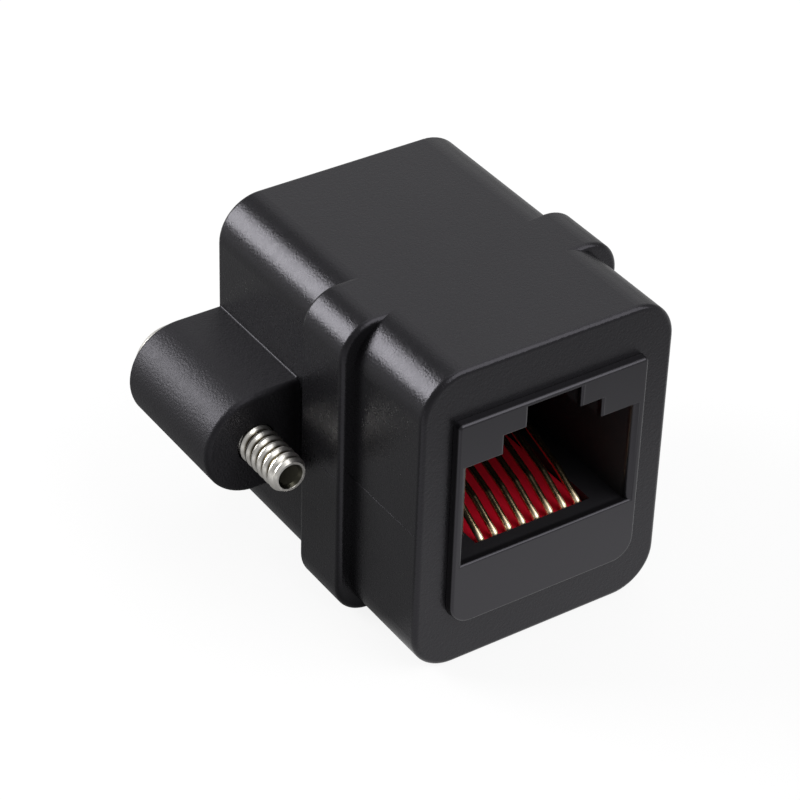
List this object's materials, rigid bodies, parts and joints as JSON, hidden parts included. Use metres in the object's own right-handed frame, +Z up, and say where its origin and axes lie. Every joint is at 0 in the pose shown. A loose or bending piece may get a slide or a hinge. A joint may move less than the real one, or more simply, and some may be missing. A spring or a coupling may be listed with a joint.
{
  "type": "ethernet coupler",
  "caption": "Panel-mount coupler with a modular plug socket at each end of a black moulded housing and a screw lug on each side.",
  "frame": {"origin": "on the housing's flat underside, midway between its front and rear faces and between its sides", "axes": "+X across the part from the left lug to the right lug, the front socket faces -Y, +Z up, towards the latch keyways"},
  "size_m": [0.031, 0.0246, 0.0215],
  "materials": {
    "housing_plastic": "fine spark-eroded texture",
    "insert_plastic": "satin",
    "carrier_plastic": "moulded, slightly glossy",
    "contact_gold": "gold plated",
    "board_laminate": "solder mask",
    "screw_nickel": "nickel plated"
  },
  "bodies": {
    "root": {"housing": "housing_plastic", "front_jack": "insert_plastic", "rear_jack": "insert_plastic", "front_contact_carrier": "carrier_plastic", "rear_contact_carrier": "carrier_plastic", "link_board": "board_laminate", "front_contact_1": "contact_gold", "front_contact_2": "contact_gold", "front_contact_3": "contact_gold", "front_contact_4": "contact_gold", "front_contact_5": "contact_gold", "front_contact_6": "contact_gold", "front_contact_7": "contact_gold", "front_contact_8": "contact_gold", "rear_contact_1": "contact_gold", "rear_contact_2": "contact_gold", "rear_contact_3": "contact_gold", "rear_contact_4": "contact_gold", "rear_contact_5": "contact_gold", "rear_contact_6": "contact_gold", "rear_contact_7": "contact_gold", "rear_contact_8": "contact_gold", "left_screw": "screw_nickel", "right_screw": "screw_nickel"}
  },
  "joints": []
}
